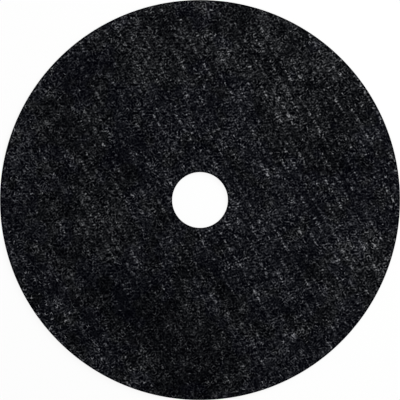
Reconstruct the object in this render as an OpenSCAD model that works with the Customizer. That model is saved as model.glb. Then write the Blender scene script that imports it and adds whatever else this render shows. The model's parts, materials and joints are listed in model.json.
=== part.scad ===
// Reinforced cut-off wheel: a thin, flat disc of resin-bonded abrasive with a plain arbor bore.
// Each face carries the imprint of the woven glass mesh that was pressed into it.
// The wheel lies flat: the bore is on the Z axis and the lower face is at Z = 0.

/* [Wheel] */
// Outside diameter
wheel_d = 228.6; // [150:0.1:300]
// Thickness from face to face, over the crests of the imprint
wheel_t = 1.6; // [1:0.1:3.2]
// Chamfer on both edges of the rim
rim_chamfer = 0.2; // [0.1:0.05:0.4]

/* [Arbor bore] */
// Diameter of the arbor that carries the wheel
arbor_d = 31.75; // [16:0.05:50.8]
// Clearance of the bore over the arbor, on the diameter
arbor_clearance = 0.1; // [0.05:0.05:0.4]
// Chamfer on both edges of the bore
bore_chamfer = 0.15; // [0.05:0.05:0.3]

/* [Glass mesh imprint] */
// Spacing of the weft strands
weft_pitch = 5.55; // [4:0.05:8]
// Width of a strand at the foot of its flanks
weft_foot_w = 1.9; // [1.6:0.1:2.6]
// Width of the crest that the press plate left flat
weft_crest_w = 1.1; // [0.6:0.1:1.5]
// Height of the crests above the face between the strands
weft_relief = 0.1; // [0.05:0.01:0.2]
// Direction of the strands, anticlockwise from the X axis, in degrees
weft_angle = 119.7; // [0:0.1:180]
// Distance from the bore's axis to the middle of the nearest strand
weft_offset = 1.36; // [0:0.01:2]

/* [Hidden] */

wheel_r = wheel_d / 2;
bore_r = (arbor_d + arbor_clearance) / 2;

// A gap is the shallow channel that the imprint leaves between two strands.
gap_mouth_w = weft_pitch - weft_crest_w;
gap_floor_w = weft_pitch - weft_foot_w;
gap_count = ceil(wheel_r / weft_pitch) + 1;
// How far the gap's cutter stands clear of the wheel's face and rim
cutter_margin = 1;

$fn = 180;

// Half of the wheel's section, turned about the bore's axis
module turned_blank() {
  rotate_extrude()
    polygon([
      [bore_r + bore_chamfer, 0],
      [wheel_r - rim_chamfer, 0],
      [wheel_r, rim_chamfer],
      [wheel_r, wheel_t - rim_chamfer],
      [wheel_r - rim_chamfer, wheel_t],
      [bore_r + bore_chamfer, wheel_t],
      [bore_r, wheel_t - bore_chamfer],
      [bore_r, bore_chamfer]
    ]);
}

// One gap along Y, cut down from a face at Z = 0
module gap_cutter() {
  rotate([90, 0, 0])
    linear_extrude(wheel_d + 2 * cutter_margin, center = true)
      polygon([
        [-gap_mouth_w / 2, cutter_margin],
        [-gap_mouth_w / 2, 0],
        [-gap_floor_w / 2, -weft_relief],
        [gap_floor_w / 2, -weft_relief],
        [gap_mouth_w / 2, 0],
        [gap_mouth_w / 2, cutter_margin]
      ]);
}

// All the gaps of one face, side by side across the wheel
module face_gaps() {
  rotate(weft_angle - 90)
    for (i = [-gap_count : gap_count - 1])
      translate([weft_offset + (i + 0.5) * weft_pitch, 0, 0])
        gap_cutter();
}

// The whole wheel, moulded as one piece
module cut_off_wheel() {
  color("#17181b")
    difference() {
      turned_blank();
      translate([0, 0, wheel_t])
        face_gaps();
      mirror([0, 0, 1])
        face_gaps();
    }
}

cut_off_wheel();
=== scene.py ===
import json
import math

import bmesh
import bpy
from mathutils import Matrix, Vector


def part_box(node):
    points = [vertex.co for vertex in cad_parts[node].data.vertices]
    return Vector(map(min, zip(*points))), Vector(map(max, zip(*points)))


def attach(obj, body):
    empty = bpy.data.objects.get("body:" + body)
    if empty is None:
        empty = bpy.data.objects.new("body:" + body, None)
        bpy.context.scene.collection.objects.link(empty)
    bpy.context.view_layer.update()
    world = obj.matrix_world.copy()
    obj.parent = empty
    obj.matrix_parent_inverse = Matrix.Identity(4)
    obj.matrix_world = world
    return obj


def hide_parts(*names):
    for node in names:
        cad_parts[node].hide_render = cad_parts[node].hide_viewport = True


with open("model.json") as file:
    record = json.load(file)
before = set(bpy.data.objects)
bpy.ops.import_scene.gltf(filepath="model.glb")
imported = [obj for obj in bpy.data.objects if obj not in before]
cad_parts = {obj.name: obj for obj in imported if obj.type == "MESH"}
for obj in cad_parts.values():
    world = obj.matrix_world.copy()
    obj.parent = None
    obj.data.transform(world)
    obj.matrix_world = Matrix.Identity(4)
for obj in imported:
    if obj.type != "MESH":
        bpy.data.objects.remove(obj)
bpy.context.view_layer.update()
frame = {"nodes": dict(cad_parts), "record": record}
scene = bpy.context.scene
mm = 0.001
smooth = {"interpolation_type": "SMOOTHSTEP"}  # for a Map Range that eases in and out
print("frame loaded:", ", ".join(frame["nodes"]))


def linear(hexColour):  # "#rrggbb" as sRGB to linear RGBA
    parts = [int(hexColour[i:i + 2], 16) / 255 for i in (1, 3, 5)]
    return [p / 12.92 if p <= 0.04045 else ((p + 0.055) / 1.055) ** 2.4 for p in parts] + [1.0]


def addNode(tree, kind, inputs=(), **settings):  # inputs are a list in order, or a dictionary by name
    node = tree.nodes.new("ShaderNode" + kind)
    for key, value in settings.items():
        setattr(node, key, value)
    for key, value in inputs.items() if isinstance(inputs, dict) else enumerate(inputs):
        value = value.outputs[0] if isinstance(value, bpy.types.Node) else value
        if isinstance(value, bpy.types.NodeSocket):
            tree.links.new(value, node.inputs[key])
        else:
            node.inputs[key].default_value = value
    return node


def newObject(name, bm):
    mesh = bpy.data.meshes.new(name)
    bm.to_mesh(mesh)
    bm.free()
    made = bpy.data.objects.new(name, mesh)
    scene.collection.objects.link(made)
    return made


# Turned form of the wheel, in mm: the frame's own sizes, and its broken edges
low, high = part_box("cut_off_wheel")
bore = next(m for m in frame["record"]["mounts"] if m["name"] == "arbor_bore")
wheel = {
    "rimRadius": round(high.x / mm, 3),
    "boreRadius": bore["dims"]["r_mm"],
    "thickness": round((high.z - low.z) / mm, 3),
    "rimChamfer": 0.2,
    "boreChamfer": 0.15,
    "turnSteps": 360,
    "seamMerge": 0.02,  # corners nearer than this become one after the cut
    "sliver": 0.002,    # thinner faces go
    "sortAxis": Vector((0.83, 0.47, 0.31)),  # askew, so that no two corners tie
    "sharpAngle": 30,   # degrees, from which an edge isn't shaded smooth
}

# Leno-woven glass mesh pressed into both faces, in mm and degrees
glassMesh = {
    "weftPitch": 5.55,   # thick strands, the ones that stand out
    "weftAngle": 119.7,
    "weftOffset": 1.36,  # from the bore's axis to the nearest one
    "weftShift": 0.20,   # wefts lie in pairs, each this much nearer to the other
    "weftFoot": 1.9,
    "weftCrest": 1.1,
    "warpPitch": 5.50,   # thin pairs that bind the wefts
    "warpAngle": 30.3,
    "warpOffset": -3.22,
    "warpFoot": 1.3,
    "warpCrest": 0.5,
    "warpSway": 0.40,    # a pair swings to and fro from weft to weft
    "relief": 0.10,      # of the wefts, over the face between the strands
    "warpRelief": 0.06,
    "pinch": 0.03,       # how far a weft dips on each side of its binding
    "pinchReach": 1.0,
    "gapRows": (0.31, 0.69),  # rows of points between two warps, as shares of the pitch
}


def normalOf(angle):  # unit vector across strands that run at this angle
    return Vector((math.sin(math.radians(angle)), -math.cos(math.radians(angle))))


acrossWefts = normalOf(glassMesh["weftAngle"])
acrossWarps = -normalOf(glassMesh["warpAngle"])


def ridge(offset, foot, crest):  # 1 on the flat crest, 0 beyond the foot
    return min(1.0, max(0.0, (foot / 2 - abs(offset)) / ((foot - crest) / 2)))


def imprintHeight(across, along):  # in mm, at these distances from the nearest weft and warp
    net = glassMesh
    bound = ridge(along, net["warpFoot"], net["warpCrest"])
    byFoot = max(0.0, 1 - abs(abs(along) - net["warpFoot"] / 2) / net["pinchReach"])
    dip = net["pinch"] * (1 - bound) * byFoot
    weftHeight = (net["relief"] - dip) * ridge(across, net["weftFoot"], net["weftCrest"])
    return max(weftHeight, net["warpRelief"] * bound)


def turnedBlank():
    bm = bmesh.new()
    outer, inner, top = wheel["rimRadius"], wheel["boreRadius"], wheel["thickness"]
    edge, lip = wheel["rimChamfer"], wheel["boreChamfer"]
    section = [(inner + lip, 0), (outer - edge, 0), (outer, edge), (outer, top - edge),
               (outer - edge, top), (inner + lip, top), (inner, top - lip), (inner, lip)]
    corners = [bm.verts.new((x * mm, 0, z * mm)) for x, z in section]
    lines = [bm.edges.new((a, b)) for a, b in zip(corners, corners[1:] + corners[:1])]
    bmesh.ops.spin(bm, geom=corners + lines, cent=(0, 0, 0), axis=(0, 0, 1), angle=2 * math.pi,
                   steps=wheel["turnSteps"], use_merge=True)
    bmesh.ops.recalc_face_normals(bm, faces=bm.faces[:])
    return newObject("turnedBlank", bm)


def pressedSlab():
    net = glassMesh
    weftStops = [-net["weftFoot"] / 2, -net["weftCrest"] / 2, net["weftCrest"] / 2, net["weftFoot"] / 2,
                 net["weftPitch"] / 2]
    warpStops = [-net["warpFoot"] / 2, -net["warpCrest"] / 2, net["warpCrest"] / 2, net["warpFoot"] / 2,
                 *(net["warpPitch"] * share for share in net["gapRows"])]
    weftCount = 2 * math.ceil(wheel["rimRadius"] / net["weftPitch"] + 1)
    warpCount = 2 * math.ceil(wheel["rimRadius"] / net["warpPitch"] + 1)
    columns, rows = weftCount * len(weftStops), warpCount * len(warpStops)
    toFace = Matrix((acrossWefts, acrossWarps)).inverted()
    bm = bmesh.new()
    bmesh.ops.create_grid(bm, x_segments=columns, y_segments=rows, size=1)
    for v in bm.verts:  # columns and rows move to the feet and crests of the strands
        weft, column = divmod(round((v.co.x + 1) / 2 * columns), len(weftStops))
        warp, row = divmod(round((v.co.y + 1) / 2 * rows), len(warpStops))
        weft, warp = weft - weftCount // 2, warp - warpCount // 2
        across, along = weftStops[column], warpStops[row]
        swing = math.cos(math.pi * (weft + across / net["weftPitch"]))  # 1 on even wefts, -1 on odd ones
        place = toFace @ Vector((
            net["weftOffset"] + weft * net["weftPitch"] + across - net["weftShift"] * swing,
            net["warpOffset"] + warp * net["warpPitch"] + along + net["warpSway"] * swing))
        top = wheel["thickness"] - net["relief"] + imprintHeight(across, along)
        v.co = (place.x * mm, place.y * mm, top * mm)
    lower = bmesh.ops.extrude_face_region(bm, geom=bm.faces[:])["geom"]
    for part in lower:
        if isinstance(part, bmesh.types.BMVert):
            part.co.z = wheel["thickness"] * mm - part.co.z
    bmesh.ops.recalc_face_normals(bm, faces=bm.faces[:])
    return newObject("pressedSlab", bm)


def cleanSeams(mesh):  # the cut leaves short edges and many-sided faces along rim and bore
    bm = bmesh.new()
    bm.from_mesh(mesh)
    bm.verts.sort(key=lambda v: v.co.dot(wheel["sortAxis"]))  # the cut leaves them in no fixed order
    bm.faces.sort(key=lambda f: f.calc_center_median().dot(wheel["sortAxis"]))
    bmesh.ops.remove_doubles(bm, verts=bm.verts[:], dist=wheel["seamMerge"] * mm)
    manySided = [f for f in bm.faces if len(f.verts) > 4]
    bmesh.ops.triangulate(bm, faces=manySided, quad_method="BEAUTY", ngon_method="BEAUTY")
    bmesh.ops.dissolve_degenerate(bm, dist=wheel["sliver"] * mm, edges=bm.edges[:])
    bm.to_mesh(mesh)
    bm.free()


slab, blank = pressedSlab(), turnedBlank()
print("slab and blank made:", len(slab.data.polygons), "faces")

trim = slab.modifiers.new("trim", "BOOLEAN")  # punches rim and bore out of the pressed slab
trim.operation, trim.solver, trim.object = "INTERSECT", "MANIFOLD", blank
bpy.context.view_layer.update()
trimmed = bpy.data.meshes.new_from_object(slab.evaluated_get(bpy.context.evaluated_depsgraph_get()))
cleanSeams(trimmed)
for scrap in (slab, blank):
    bpy.data.objects.remove(scrap)
bondedWheel = bpy.data.objects.new("bondedWheel", trimmed)
bondedWheel.data.name = "bondedWheel"
scene.collection.objects.link(bondedWheel)
trimmed.shade_smooth()
trimmed.set_sharp_from_angle(angle=math.radians(wheel["sharpAngle"]))
print("wheel trimmed:", sum(len(p.vertices) - 2 for p in trimmed.polygons), "triangles")

# How the glass mesh shows: its strands lie close under the resin and come through paler than it,
# with a painted glint along their crests.
# A pair of limits says where a strand starts to show and where it shows in full.
meshLook = {
    "weftRise": (-0.27, -0.06),     # limits in pitches from the middle of a strand, down to knotWidth
    "weftFall": (0.18, 0.06),
    "clearOfWarp": (0.14, 0.32),
    "bindingWidth": (0.13, 0.02),
    "bindingReach": (0.32, 0.16),
    "paintedShadePlace": 0.17,              # from the middle of a binding to the painted shade in the dent beside it
    "paintedShadeWidth": (0.12, 0.02),
    "knotWidth": (0.18, 0.03),
    "knotLean": (0.86, 0.97),       # of a sine that is 1 halfway from an even weft to the next odd one
    "weftStrength": (0.13, 0.95),   # how much more on even wefts, and the mean, as in the next two
    "bindingStrength": (-0.28, 1.0),
    "bindingSlant": (0.12, 0.36),
    "fibreSize": 1.6,               # mm across a bundle, drawn coarse because single fibres don't show
    "coverSize": 2.6,               # mm across a smear of resin over the strands
    "alongWeft": 0.15,              # stretches fibres and smears along the weft, 1 being as across it
    "coverRange": (0.3, 0.7),
    "coverShows": (0.7, 1.3),       # how much the mesh shows at the two ends of that range
    "area": (45, 15, 190),          # where the mesh shows best: x, y and reach in mm
    "areaShows": (1.3, 0.55),       # how much at its middle, and beyond its reach
    "weftTone": 0.90,               # strengths, each a change of tone
    "bindingTone": 0.75,
    "paintedShadeTone": -0.46,
    "knotTone": 0.88,
    "fibreTone": 4.5,
}

# Black phenolic resin with silicon carbide grain, hot pressed: dull and near black, with painted glints of
# bare grain. Real grit is finer than 0.6 mm and would blur to grey, so it is drawn a little coarser.
abrasive = {
    "bluish": ["#000004", "#0a0b0f", "#131418", "#25262a", "#3d3e42", "#57585c", "#828387"],
    "neutral": ["#000002", "#0a0b0d", "#131416", "#252628", "#3d3e40", "#57585a", "#828385"],
    "levelStops": [0.0, 0.04, 0.08, 0.16, 0.31, 0.63, 1.0],
    "midLevel": 0.068,            # where plain resin lies among the stops
    "grainSize": 0.9,             # sizes of the patterns in mm, down to speckSpacing
    "chipSize": 1.8,
    "roughSize": 6.0,
    "clumpSize": 4.5,
    "patchSize": 14.0,
    "hueSize": 16.0,
    "speckSpacing": 4.5,
    "lineMean": 0.088,            # mean distance of a noise from its middle
    "grainTone": 3.2,             # strengths, each a change of tone
    "chipTone": 9.8,
    "clumpTone": 1.6,
    "patchTone": 2.4,
    "smearTone": 1.1,
    "baredTone": 0.18,
    "edgeShadeTone": -1.6,
    "roughRange": (0.35, 0.65),
    "roughShows": (0.7, 1.3),     # how strong the grain is at the two ends of that range
    "speckReach": (0.26, 0.10),   # from the middle of a cell, in spacings
    "speckLine": (0.04, 0.08),    # only on a line of chips: none below the first, full above the second
    "speckDraw": (1.0, 1.5),      # likewise for the sum of a cell's own draw and the share
    "speckShare": (0.25, 0.45),   # on the open face, and at the rim
    "speckWidth": 30.0,           # mm in from the rim, over which the share falls
    "paintedGlintLevel": 2.2,
    "glitterArea": (-92, -64, 36, 0.6),  # x, y and reach in mm, then how much the share rises
    "baredWidth": 8.0,            # mm in from the edge, as are the next two
    "edgeShadeWidth": 0.9,
    "edgeShadeFull": 0.3,
    "hueSpread": (2.2, -0.6),     # gain and shift of the noise
    "hueLimits": (0.27, 0.43),    # neutral below the first, bluish above the second
    "greyPull": 0.6,              # taken off in the middle of a grey area
    "gritHeight": 0.05,           # mm
    "grainRange": (0.3, 0.7),
    "roughness": (0.85, 0.60),    # dull resin, and the glassy faces of the grain
    "ior": 1.5,
    "specular": 0.003,            # open pores swallow most of the gloss
    # lighter and darker areas of the face, from more or less resin: x, y and reach in mm, then the tone
    "areas": [(88, -30, 26, 0.55), (17, 87, 14, 0.65), (-29, 72, 24, 0.35), (50, 53, 24, 0.28),
              (-106, 40, 26, 0.45), (-48, -20, 22, 0.32), (-36, -64, 36, -0.70), (80, 22, 23, -0.60),
              (-40, 25, 22, -0.50), (-63, 70, 32, -0.30), (0, -98, 34, -0.55), (9, -43, 22, -0.45),
              (-7, -19, 15, 0.40), (-26, 50, 20, -0.25)],
    # greyer areas of the face, where it is less bluish: x, y and reach in mm
    "greyAreas": [(-25, 92, 46), (35, 95, 46), (71, 57, 58), (-60, -9, 44), (-11, -83, 54),
                  (106, -46, 42), (-71, 46, 30)],
}


def softArea(tree, outward, x, y, reach, middle, beyond=0.0):  # eases from its middle to its reach
    far = addNode(tree, "VectorMath", [outward, (x, y, 0)], operation="DISTANCE").outputs["Value"]
    return addNode(tree, "MapRange", [far, reach, 0.0, beyond, middle], **smooth)


def windingLines(tree, vector, size):  # pale lines where a noise crosses its middle
    noise = addNode(tree, "TexNoise", {"Vector": vector, "Scale": 1 / size, "Detail": 0.0})
    aside = addNode(tree, "Math", [noise, 0.5], operation="SUBTRACT")
    aside = addNode(tree, "Math", [aside], operation="ABSOLUTE")
    return addNode(tree, "Math", [abrasive["lineMean"], aside], operation="SUBTRACT")


def strandPlaces(tree, inMm):  # across the strands in mm, and in pitches from the nearest one
    net = glassMesh
    weftFar = addNode(tree, "VectorMath", [inMm, (*acrossWefts, 0)], operation="DOT_PRODUCT").outputs["Value"]
    warpFar = addNode(tree, "VectorMath", [inMm, (*acrossWarps, 0)], operation="DOT_PRODUCT").outputs["Value"]
    weftEnds = net["weftOffset"], net["weftOffset"] + net["weftPitch"]
    warpEnds = net["warpOffset"], net["warpOffset"] + net["warpPitch"]
    wefts = addNode(tree, "MapRange", [weftFar, *weftEnds], clamp=False)
    warps = addNode(tree, "MapRange", [warpFar, *warpEnds], clamp=False)
    turn = addNode(tree, "Math", [wefts, math.pi], operation="MULTIPLY")
    swing = addNode(tree, "Math", [turn], operation="COSINE")  # 1 on even wefts, -1 on odd ones
    shift, sway = net["weftShift"] / net["weftPitch"], -net["warpSway"] / net["warpPitch"]
    moved = addNode(tree, "Math", [swing, shift, wefts], operation="MULTIPLY_ADD")
    bent = addNode(tree, "Math", [swing, sway, warps], operation="MULTIPLY_ADD")
    weftSide = addNode(tree, "Math", [moved, 0.5, -0.5], operation="WRAP")
    warpSide = addNode(tree, "Math", [bent, 0.5, -0.5], operation="WRAP")
    return weftFar, warpFar, turn, swing, weftSide, warpSide


def wovenMesh(tree, inMm, outward):  # tone of the strands, how much they show, and the resin over them
    look = meshLook
    weftFar, warpFar, turn, swing, weftSide, warpSide = strandPlaces(tree, inMm)
    weftNear = addNode(tree, "Math", [weftSide], operation="ABSOLUTE")
    warpNear = addNode(tree, "Math", [warpSide], operation="ABSOLUTE")

    # a weft shows between its bindings, paler and with a painted glint on its crest, and even ones show more
    rise = addNode(tree, "MapRange", [weftSide, *look["weftRise"]], **smooth)
    fall = addNode(tree, "MapRange", [weftSide, *look["weftFall"]], **smooth)
    onWeft = addNode(tree, "Math", [rise, fall], operation="MINIMUM")
    offWarp = addNode(tree, "MapRange", [warpNear, *look["clearOfWarp"]], **smooth)
    evenMore = addNode(tree, "Math", [swing, *look["weftStrength"]], operation="MULTIPLY_ADD")
    wefted = addNode(tree, "Math", [onWeft, offWarp], operation="MULTIPLY")
    wefted = addNode(tree, "Math", [wefted, evenMore], operation="MULTIPLY")

    # a binding crosses its weft at a slant, stronger on odd wefts, with painted shade in the dent on each
    # side
    slant = addNode(tree, "Math", [swing, *look["bindingSlant"]], operation="MULTIPLY_ADD")
    slanted = addNode(tree, "Math", [weftSide, slant, warpSide], operation="MULTIPLY_ADD")
    slantNear = addNode(tree, "Math", [slanted], operation="ABSOLUTE")
    overWeft = addNode(tree, "MapRange", [weftNear, *look["bindingReach"]], **smooth)
    onBinding = addNode(tree, "MapRange", [slantNear, *look["bindingWidth"]], **smooth)
    oddMore = addNode(tree, "Math", [swing, *look["bindingStrength"]], operation="MULTIPLY_ADD")
    bound = addNode(tree, "Math", [onBinding, overWeft], operation="MULTIPLY")
    bound = addNode(tree, "Math", [bound, oddMore], operation="MULTIPLY")
    # painted shade: a dark band in the dent on each side of the binding
    shadeFar = addNode(tree, "Math", [slantNear, look["paintedShadePlace"]], operation="SUBTRACT")
    shadeNear = addNode(tree, "Math", [shadeFar], operation="ABSOLUTE")
    inPaintedShade = addNode(tree, "MapRange", [shadeNear, *look["paintedShadeWidth"]], **smooth)
    paintedShade = addNode(tree, "Math", [inPaintedShade, overWeft], operation="MULTIPLY")

    # a warp pair crosses itself before each odd weft
    lean = addNode(tree, "Math", [turn], operation="SINE")
    onWarp = addNode(tree, "MapRange", [warpNear, *look["knotWidth"]], **smooth)
    atKnot = addNode(tree, "MapRange", [lean, *look["knotLean"]], **smooth)
    knotted = addNode(tree, "Math", [onWarp, atKnot], operation="MULTIPLY")

    # glass fibres show as streaks along the weft
    along = addNode(tree, "Math", [warpFar, look["alongWeft"]], operation="MULTIPLY")
    strand = addNode(tree, "CombineXYZ", [weftFar, along])
    fibres = windingLines(tree, strand, look["fibreSize"])
    streaks = addNode(tree, "Math", [fibres, onWeft], operation="MULTIPLY")

    # resin covers the mesh more in some places than in others
    broad = softArea(tree, outward, *look["area"], *look["areaShows"])
    cover = addNode(tree, "TexNoise", {"Vector": strand, "Scale": 1 / look["coverSize"], "Detail": 1.0})
    shows = addNode(tree, "MapRange", [cover, *look["coverRange"], *look["coverShows"]])
    shows = addNode(tree, "Math", [shows, broad], operation="MULTIPLY")
    weave = 0.0
    for part, strength in ((wefted, "weftTone"), (bound, "bindingTone"), (paintedShade, "paintedShadeTone"),
                           (knotted, "knotTone"), (streaks, "fibreTone")):
        weave = addNode(tree, "Math", [part, look[strength], weave], operation="MULTIPLY_ADD")
    return weave, shows, cover


def resinGrit(tree, inMm):  # grain and lines of chips, rougher in some places than in others
    resin = abrasive
    grain = addNode(tree, "TexNoise", {"Vector": inMm, "Scale": 1 / resin["grainSize"], "Detail": 0.0})
    chips = windingLines(tree, inMm, resin["chipSize"])
    gritty = addNode(tree, "Math", [grain, 0.5], operation="SUBTRACT")
    gritty = addNode(tree, "Math", [gritty, resin["grainTone"]], operation="MULTIPLY")
    gritty = addNode(tree, "Math", [chips, resin["chipTone"], gritty], operation="MULTIPLY_ADD")
    rough = addNode(tree, "TexNoise", {"Vector": inMm, "Scale": 1 / resin["roughSize"], "Detail": 1.0})
    rough = addNode(tree, "MapRange", [rough, *resin["roughRange"], *resin["roughShows"]])
    gritty = addNode(tree, "Math", [gritty, rough], operation="MULTIPLY")
    return grain, chips, gritty


def wornAndShadedEdges(tree, outward):  # grain is bared a little towards the rim; painted shade darkens rim and bore
    resin = abrasive
    radius = addNode(tree, "VectorMath", [outward], operation="LENGTH").outputs["Value"]
    toRim = addNode(tree, "Math", [wheel["rimRadius"], radius], operation="SUBTRACT")
    toBore = addNode(tree, "Math", [radius, wheel["boreRadius"]], operation="SUBTRACT")
    toEdge = addNode(tree, "Math", [toRim, toBore], operation="MINIMUM")
    bared = addNode(tree, "MapRange", [toRim, resin["baredWidth"], resin["edgeShadeWidth"]])
    # painted shade: darker in a thin band along rim and bore
    paintedEdgeShade = addNode(tree, "MapRange", [toEdge, resin["edgeShadeWidth"], resin["edgeShadeFull"]])
    return toRim, bared, paintedEdgeShade


def paintedGrainGlints(tree, inMm, outward, chips, toRim):  # painted glints of bare grain, here and there, more often towards the rim
    resin = abrasive
    cells = addNode(tree, "TexVoronoi", {"Vector": inMm, "Scale": 1 / resin["speckSpacing"]},
                    voronoi_dimensions="2D")
    near = addNode(tree, "MapRange", [cells.outputs["Distance"], *resin["speckReach"]], **smooth)
    crisp = addNode(tree, "MapRange", [chips, *resin["speckLine"]])
    glint = addNode(tree, "Math", [near, crisp], operation="MULTIPLY")
    share = addNode(tree, "MapRange", [toRim, resin["speckWidth"], 0.0, *resin["speckShare"]])
    glitter = softArea(tree, outward, *resin["glitterArea"])
    share = addNode(tree, "Math", [share, glitter], operation="ADD")
    drawn = addNode(tree, "Math", [cells.outputs["Color"], share], operation="ADD")
    chosen = addNode(tree, "MapRange", [drawn, *resin["speckDraw"]])
    return addNode(tree, "Math", [glint, chosen], operation="MULTIPLY")


def resinHue(tree, inMm, outward):  # 0 where the black is neutral, 1 where it is bluish
    resin = abrasive
    hue = addNode(tree, "TexNoise", {"Vector": inMm, "Scale": 1 / resin["hueSize"], "Detail": 2.0})
    hue = addNode(tree, "Math", [hue, *resin["hueSpread"]], operation="MULTIPLY_ADD")
    for area in resin["greyAreas"]:
        grey = softArea(tree, outward, *area, resin["greyPull"])
        hue = addNode(tree, "Math", [hue, grey], operation="SUBTRACT")
    return addNode(tree, "MapRange", [hue, *resin["hueLimits"]])


def resinBlack(tree, level, hue):
    blacks = []
    for colours in (abrasive["neutral"], abrasive["bluish"]):
        black = addNode(tree, "ValToRGB", [level])
        elements = black.color_ramp.elements
        for i, (stop, colour) in enumerate(zip(abrasive["levelStops"], colours)):
            element = elements[i] if i < 2 else elements.new(stop)
            element.position = stop
            element.color = linear(colour)
        blacks.append(black)
    return addNode(tree, "Mix", {0: hue, 6: blacks[0], 7: blacks[1]}, data_type="RGBA").outputs[2]


def abrasiveMaterial():
    resin = abrasive
    material = bpy.data.materials.new("blackResinBondedGrit")
    material.use_nodes = True
    tree = material.node_tree
    tree.nodes.clear()
    place = addNode(tree, "TexCoord").outputs["Object"]
    inMm = addNode(tree, "VectorMath", {0: place, "Scale": 1 / mm}, operation="SCALE")
    outward = addNode(tree, "VectorMath", [inMm, (1, 1, 0)], operation="MULTIPLY")  # from the bore's axis

    weave, shows, cover = wovenMesh(tree, inMm, outward)
    grain, chips, gritty = resinGrit(tree, inMm)
    toRim, bared, paintedEdgeShade = wornAndShadedEdges(tree, outward)
    paintedGlints = paintedGrainGlints(tree, inMm, outward, chips, toRim)
    clump = addNode(tree, "TexNoise", {"Vector": inMm, "Scale": 1 / resin["clumpSize"],
                                       "Detail": 1.0, "Roughness": 0.8})
    patch = addNode(tree, "TexNoise", {"Vector": inMm, "Scale": 1 / resin["patchSize"],
                                       "Detail": 2.0, "Roughness": 0.7})

    # tones add up, 0 being plain resin, and the level of grey is their exponential
    noiseMean = 0.5 * (resin["clumpTone"] + resin["patchTone"] + resin["smearTone"])
    tone = addNode(tree, "Math", [gritty, noiseMean], operation="SUBTRACT")
    for part, strength in ((clump, resin["clumpTone"]), (patch, resin["patchTone"]),
                           (cover, resin["smearTone"]), (weave, shows),
                           (bared, resin["baredTone"]), (paintedEdgeShade, resin["edgeShadeTone"])):
        tone = addNode(tree, "Math", [part, strength, tone], operation="MULTIPLY_ADD")
    for area in resin["areas"]:
        tone = addNode(tree, "Math", [tone, softArea(tree, outward, *area)], operation="ADD")
    level = addNode(tree, "Math", [tone], operation="EXPONENT")
    level = addNode(tree, "Math", [level, resin["midLevel"]], operation="MULTIPLY")
    # painted glints of bare grain add to the level of grey
    level = addNode(tree, "Math", [paintedGlints, resin["paintedGlintLevel"], level], operation="MULTIPLY_ADD")
    colour = resinBlack(tree, level, resinHue(tree, inMm, outward))

    dull = addNode(tree, "MapRange", [grain, *resin["grainRange"], *resin["roughness"]])
    bump = addNode(tree, "Bump", {"Height": grain, "Distance": resin["gritHeight"] * mm, "Strength": 1.0})
    surface = addNode(tree, "BsdfPrincipled", {"Base Color": colour, "Roughness": dull, "IOR": resin["ior"],
                                               "Specular IOR Level": resin["specular"],
                                               "Normal": bump.outputs["Normal"]})
    addNode(tree, "OutputMaterial", {"Surface": surface})
    return material


bondedWheel.data.materials.clear()
bondedWheel.data.materials.append(abrasiveMaterial())
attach(bondedWheel, "root")
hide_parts("cut_off_wheel")
print("wheel finished")

# White table and soft studio light, in metres and watts
studio = {
    "tableSize": 6.0,
    "tableDrop": 0.0002,  # keeps the table just clear of the wheel
    "tableColour": "#fafafa",
    "tableGlow": 0.9,     # the rest of its white comes from the light, so that the wheel's shadow shows
    "worldStrength": 0.5,
    "keyPower": 8.0,
    "keySize": 0.7,
    "keyPlace": (0.58, 0.50, 0.55),
}


def seenRays(tree):  # 1 for a ray that shows the background, straight on or in a gloss
    rays = addNode(tree, "LightPath").outputs
    seen = addNode(tree, "Math", [rays["Is Camera Ray"], rays["Is Glossy Ray"]], operation="MAXIMUM")
    return addNode(tree, "Math", [seen, rays["Is Transmission Ray"]], operation="MAXIMUM")


def whiteTable():
    bm = bmesh.new()
    bmesh.ops.create_grid(bm, x_segments=1, y_segments=1, size=studio["tableSize"] / 2)
    bmesh.ops.translate(bm, verts=bm.verts[:], vec=(0, 0, -studio["tableDrop"]))
    table = newObject("table", bm)
    material = bpy.data.materials.new("whiteTable")
    material.use_nodes = True
    tree = material.node_tree
    tree.nodes.clear()
    glow = addNode(tree, "Math", [seenRays(tree), studio["tableGlow"]], operation="MULTIPLY")
    matt = addNode(tree, "BsdfDiffuse", {"Color": linear(studio["tableColour"])})
    white = addNode(tree, "Emission", {"Color": (1, 1, 1, 1), "Strength": 1.0})
    mix = addNode(tree, "MixShader", [glow, matt, white])
    addNode(tree, "OutputMaterial", {"Surface": mix})
    table.data.materials.append(material)


def studioLight():
    world = bpy.data.worlds.new("softRoom")
    scene.world = world
    world.use_nodes = True
    tree = world.node_tree
    tree.nodes.clear()
    soft = addNode(tree, "Background", {"Color": (1, 1, 1, 1), "Strength": studio["worldStrength"]})
    white = addNode(tree, "Background", {"Color": (1, 1, 1, 1), "Strength": 1.0})
    mix = addNode(tree, "MixShader", [seenRays(tree), soft, white])
    addNode(tree, "OutputWorld", {"Surface": mix})
    key = bpy.data.lights.new("keySoftbox", "AREA")
    key.shape, key.size, key.energy = "DISK", studio["keySize"], studio["keyPower"]
    lamp = bpy.data.objects.new("keySoftbox", key)
    lamp.location = studio["keyPlace"]
    lamp.rotation_euler = (-Vector(studio["keyPlace"])).to_track_quat("-Z", "Y").to_euler()
    scene.collection.objects.link(lamp)


whiteTable()
studioLight()
print("table and light set")

# Straight down on the face, the wheel filling the frame
camera = {
    "height": 1.2,        # metres over the face
    "sensor": 36.0,       # mm
    "frameWidth": 228.5,  # mm of the face from side to side
}
view = bpy.data.cameras.new("photoCamera")
view.type, view.sensor_width = "PERSP", camera["sensor"]
view.lens = camera["sensor"] * camera["height"] / (camera["frameWidth"] * mm)
eye = bpy.data.objects.new("photoCamera", view)
eye.location = (0, 0, wheel["thickness"] * mm + camera["height"])
scene.collection.objects.link(eye)
scene.camera = eye
scene.view_settings.view_transform = "Standard"

bpy.context.view_layer.update()
